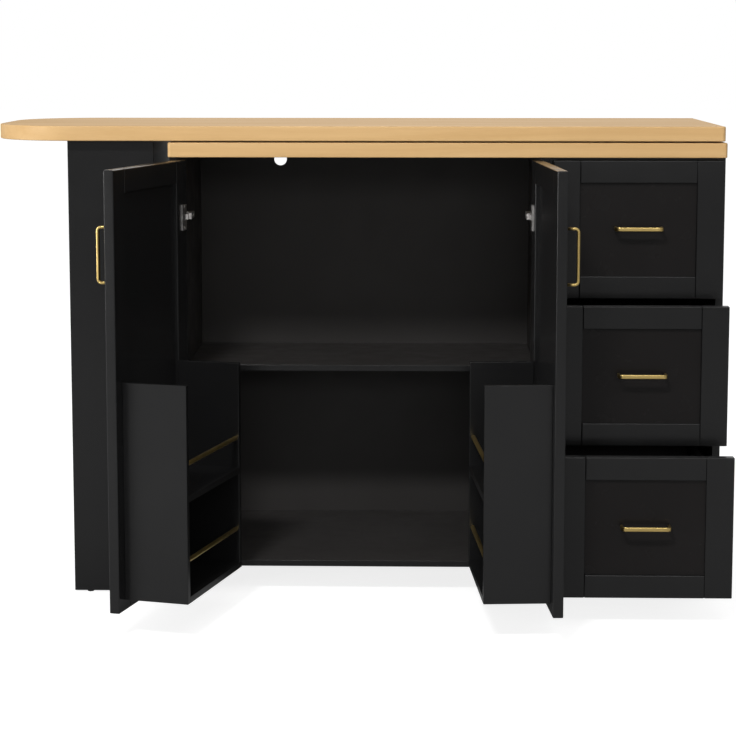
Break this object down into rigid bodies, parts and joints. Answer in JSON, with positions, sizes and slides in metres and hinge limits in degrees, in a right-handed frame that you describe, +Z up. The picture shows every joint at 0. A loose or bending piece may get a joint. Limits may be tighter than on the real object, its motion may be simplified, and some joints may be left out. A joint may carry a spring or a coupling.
{
  "type": "kitchen island unit",
  "caption": "Black kitchen island with two rack-backed cupboard doors, a stack of drawers, a pale wood worktop and a swivelling table top on a box leg.",
  "frame": {"origin": "on the floor, under the middle of the whole unit's box with the doors and drawers open as pictured", "axes": "+X to the right along the tops as seen from the front, +Y from the fronts to the back, +Z up"},
  "size_m": [1.409, 0.8006, 0.914],
  "materials": {
    "black_paint": "satin black paint on fibreboard",
    "oak_veneer": "clear matt lacquer over pale straight-grained wood",
    "plain_timber": "planed, unfinished",
    "gold_metal": "fine brushed, clear lacquered",
    "nickel_steel": "nickel plated",
    "zinc_steel": "zinc plated sheet",
    "nylon": "moulded, matt"
  },
  "bodies": {
    "cabinet": {"left_side_panel": "black_paint", "left_divider_panel": "black_paint", "right_divider_panel": "black_paint", "right_side_panel": "black_paint", "bottom_board": "black_paint", "drawer_bay_board": "black_paint", "mid_shelf": "black_paint", "shelf_pins": "nickel_steel", "left_back_panel": "black_paint", "right_back_panel": "black_paint", "top_rails": "black_paint", "worktop": "oak_veneer", "cabinet_glides": "nylon", "cabinet_runners": "zinc_steel", "hinge_arms": "nickel_steel", "hinge_screws": "nickel_steel", "slip_disc": "nylon"},
    "left_door": {"left_door_frame": "black_paint", "left_door_panel": "black_paint", "left_door_handle": "gold_metal", "left_hinge_cups": "nickel_steel", "left_hinge_pins": "nickel_steel", "left_rack_ends": "black_paint", "left_rack_shelves": "black_paint", "left_rack_bars": "gold_metal"},
    "right_door": {"right_door_frame": "black_paint", "right_door_panel": "black_paint", "right_door_handle": "gold_metal", "right_hinge_cups": "nickel_steel", "right_hinge_pins": "nickel_steel", "right_rack_ends": "black_paint", "right_rack_shelves": "black_paint", "right_rack_bars": "gold_metal"},
    "table": {"table_top": "oak_veneer", "pivot_bolt": "nickel_steel", "pivot_nut": "nickel_steel", "leg_front_panel": "black_paint", "leg_back_panel": "black_paint", "leg_side_panels": "black_paint", "leg_cleats": "plain_timber", "leg_glides": "nylon"},
    "drawer_1": {"drawer_1_frame": "black_paint", "drawer_1_panel": "black_paint", "drawer_1_walls": "black_paint", "drawer_1_bottom": "black_paint", "drawer_1_handle": "gold_metal", "drawer_1_runners": "zinc_steel"},
    "drawer_2": {"drawer_2_frame": "black_paint", "drawer_2_panel": "black_paint", "drawer_2_walls": "black_paint", "drawer_2_bottom": "black_paint", "drawer_2_handle": "gold_metal", "drawer_2_runners": "zinc_steel"},
    "drawer_3": {"drawer_3_frame": "black_paint", "drawer_3_panel": "black_paint", "drawer_3_walls": "black_paint", "drawer_3_bottom": "black_paint", "drawer_3_handle": "gold_metal", "drawer_3_runners": "zinc_steel"}
  },
  "joints": [
    {"name": "left_door_hinge", "type": "hinge", "parent": "cabinet", "child": "left_door", "pos_m": [-0.337, -0.05875, 0.452], "axis": [0, 0, 1], "range_deg": [0, 105]},
    {"name": "right_door_hinge", "type": "hinge", "parent": "cabinet", "child": "right_door", "pos_m": [0.349, -0.05875, 0.452], "axis": [0, 0, -1], "range_deg": [0, 94]},
    {"name": "drawer_1_slide", "type": "slide", "parent": "cabinet", "child": "drawer_1", "axis": [0, -1, 0], "range_m": [0, 0.26]},
    {"name": "drawer_2_slide", "type": "slide", "parent": "cabinet", "child": "drawer_2", "axis": [0, -1, 0], "range_m": [-0.099, 0.161]},
    {"name": "drawer_3_slide", "type": "slide", "parent": "cabinet", "child": "drawer_3", "axis": [0, -1, 0], "range_m": [-0.197, 0.063]},
    {"name": "table_swivel", "type": "hinge", "parent": "cabinet", "child": "table", "pos_m": [0.4365, 0.19625, 0.8845], "axis": [0, 0, -1], "range_deg": [0, 90]}
  ]
}
